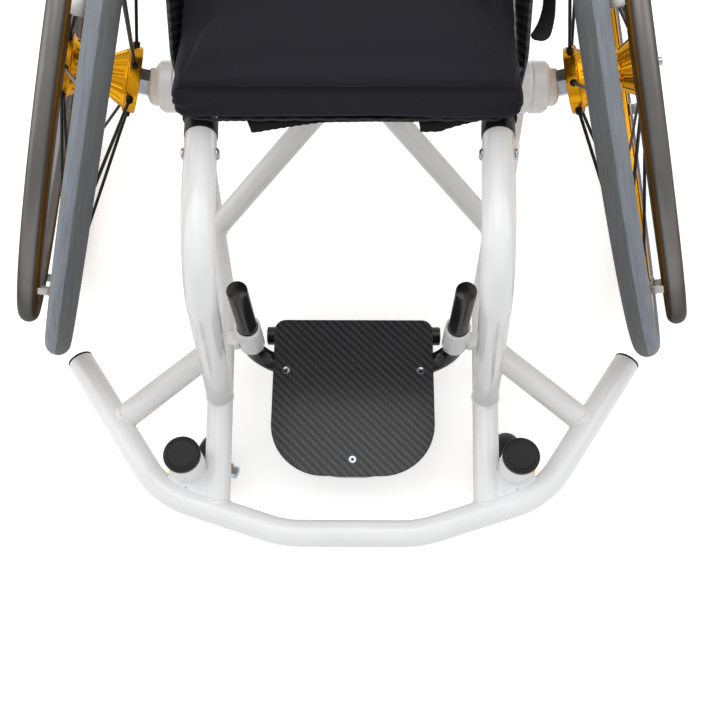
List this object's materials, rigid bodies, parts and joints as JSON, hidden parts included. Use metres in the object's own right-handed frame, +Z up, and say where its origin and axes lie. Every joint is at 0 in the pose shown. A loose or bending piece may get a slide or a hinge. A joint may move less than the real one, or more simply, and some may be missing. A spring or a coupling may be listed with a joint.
{
  "type": "court wheelchair",
  "caption": "Rigid court wheelchair: welded frame with front bumper, cambered drive wheels with handrims, front casters, footplate, sling seat and backrest.",
  "frame": {"origin": "on the floor, in the middle of the chair's width and length", "axes": "+Z up, +Y towards the chair's back, +X towards the sitter's left side, which is the right side as seen from the front"},
  "size_m": [0.811, 0.8033, 0.7168],
  "materials": {
    "white_paint": "glossy white powder coat",
    "sleeve_plastic": "light grey, slightly glossy",
    "black_tube": "satin black",
    "black_plastic": "satin black",
    "gold_anodised": "gold anodised, satin",
    "titanium": "dark grey metal with light scratches",
    "silver_steel": "silver",
    "grey_tyre": "blue-grey rubber with a lighter outer wall",
    "caster_tyre": "black",
    "carbon": "carbon twill under clear coat",
    "seat_cloth": "dark navy and black cloth"
  },
  "bodies": {
    "root": {"main_tube_left": "white_paint", "main_tube_right": "white_paint", "lower_rail_left": "white_paint", "lower_rail_right": "white_paint", "wing_strut_left": "white_paint", "wing_strut_right": "white_paint", "v_brace_left": "white_paint", "v_brace_right": "white_paint", "axle_upright_left": "white_paint", "axle_upright_right": "white_paint", "camber_tube": "white_paint", "axle_sleeve_left": "sleeve_plastic", "axle_sleeve_right": "sleeve_plastic", "front_bumper": "white_paint", "bumper_cap_left": "black_plastic", "bumper_cap_right": "black_plastic", "caster_barrel_left": "white_paint", "caster_barrel_right": "white_paint", "caster_cap_left": "black_plastic", "caster_cap_right": "black_plastic", "foot_sleeve_left": "white_paint", "foot_sleeve_right": "white_paint", "seat_rail_left": "black_tube", "seat_rail_right": "black_tube", "backrest_post_left": "black_tube", "backrest_post_right": "black_tube", "backrest_bar": "black_tube", "side_guard_left": "carbon", "side_guard_right": "carbon", "seat_sling": "seat_cloth", "seat_cushion": "seat_cloth", "backrest_upholstery": "seat_cloth", "rear_cross_tube": "white_paint", "anti_tip_arm": "white_paint", "axle_pin_left": "silver_steel", "axle_pin_right": "silver_steel"},
    "left_wheel": {"tyre_left": "grey_tyre", "rim_left": "gold_anodised", "handrim_left": "titanium", "hub_left": "gold_anodised", "hub_bearing_left": "silver_steel"},
    "right_wheel": {"tyre_right": "grey_tyre", "rim_right": "gold_anodised", "handrim_right": "titanium", "hub_right": "gold_anodised", "hub_bearing_right": "silver_steel"},
    "left_button": {"release_button_left": "silver_steel"},
    "right_button": {"release_button_right": "silver_steel"},
    "left_caster": {"caster_fork_left": "gold_anodised", "caster_axle_left": "silver_steel"},
    "left_caster_wheel": {"caster_wheel_left": "caster_tyre"},
    "right_caster": {"caster_fork_right": "gold_anodised", "caster_axle_right": "silver_steel"},
    "right_caster_wheel": {"caster_wheel_right": "caster_tyre"},
    "anti_tip_caster": {"anti_tip_fork": "black_tube", "anti_tip_axle": "silver_steel"},
    "anti_tip_roller": {"anti_tip_wheel": "caster_tyre"},
    "footrest": {"footrest_tube": "black_tube", "heel_bar": "black_tube", "footplate": "carbon"}
  },
  "joints": [
    {"name": "left_wheel_spin", "type": "hinge", "parent": "root", "child": "left_wheel", "pos_m": [-0.274, 0.06765, 0.28739], "axis": [-0.9397, 0, 0.342], "continuous": true},
    {"name": "right_wheel_spin", "type": "hinge", "parent": "root", "child": "right_wheel", "pos_m": [0.274, 0.06765, 0.28739], "axis": [0.9397, 0, 0.342], "continuous": true},
    {"name": "left_button_press", "type": "slide", "parent": "root", "child": "left_button", "axis": [-0.9397, 0, 0.342], "range_m": [-0.004, 0], "stiffness_N_per_m": 800},
    {"name": "right_button_press", "type": "slide", "parent": "root", "child": "right_button", "axis": [0.9397, 0, 0.342], "range_m": [-0.004, 0], "stiffness_N_per_m": 800},
    {"name": "left_caster_swivel", "type": "hinge", "parent": "root", "child": "left_caster", "pos_m": [-0.1768, -0.31655, 0.1], "axis": [0, 0, 1], "continuous": true},
    {"name": "left_caster_roll", "type": "hinge", "parent": "left_caster", "child": "left_caster_wheel", "pos_m": [-0.16808, -0.29259, 0.0355], "axis": [0.9397, -0.342, 0], "continuous": true},
    {"name": "right_caster_swivel", "type": "hinge", "parent": "root", "child": "right_caster", "pos_m": [0.1768, -0.31655, 0.1], "axis": [0, 0, 1], "continuous": true},
    {"name": "right_caster_roll", "type": "hinge", "parent": "right_caster", "child": "right_caster_wheel", "pos_m": [0.17813, -0.29108, 0.0355], "axis": [0.9986, -0.0523, 0], "continuous": true},
    {"name": "anti_tip_swivel", "type": "hinge", "parent": "root", "child": "anti_tip_caster", "pos_m": [0, 0.35265, 0.1], "axis": [0, 0, 1], "continuous": true},
    {"name": "anti_tip_roll", "type": "hinge", "parent": "anti_tip_caster", "child": "anti_tip_roller", "pos_m": [0, 0.37065, 0.039], "axis": [1, 0, 0], "continuous": true},
    {"name": "footrest_height", "type": "slide", "parent": "root", "child": "footrest", "axis": [0, 0, 1], "range_m": [-0.025, 0.008]}
  ]
}
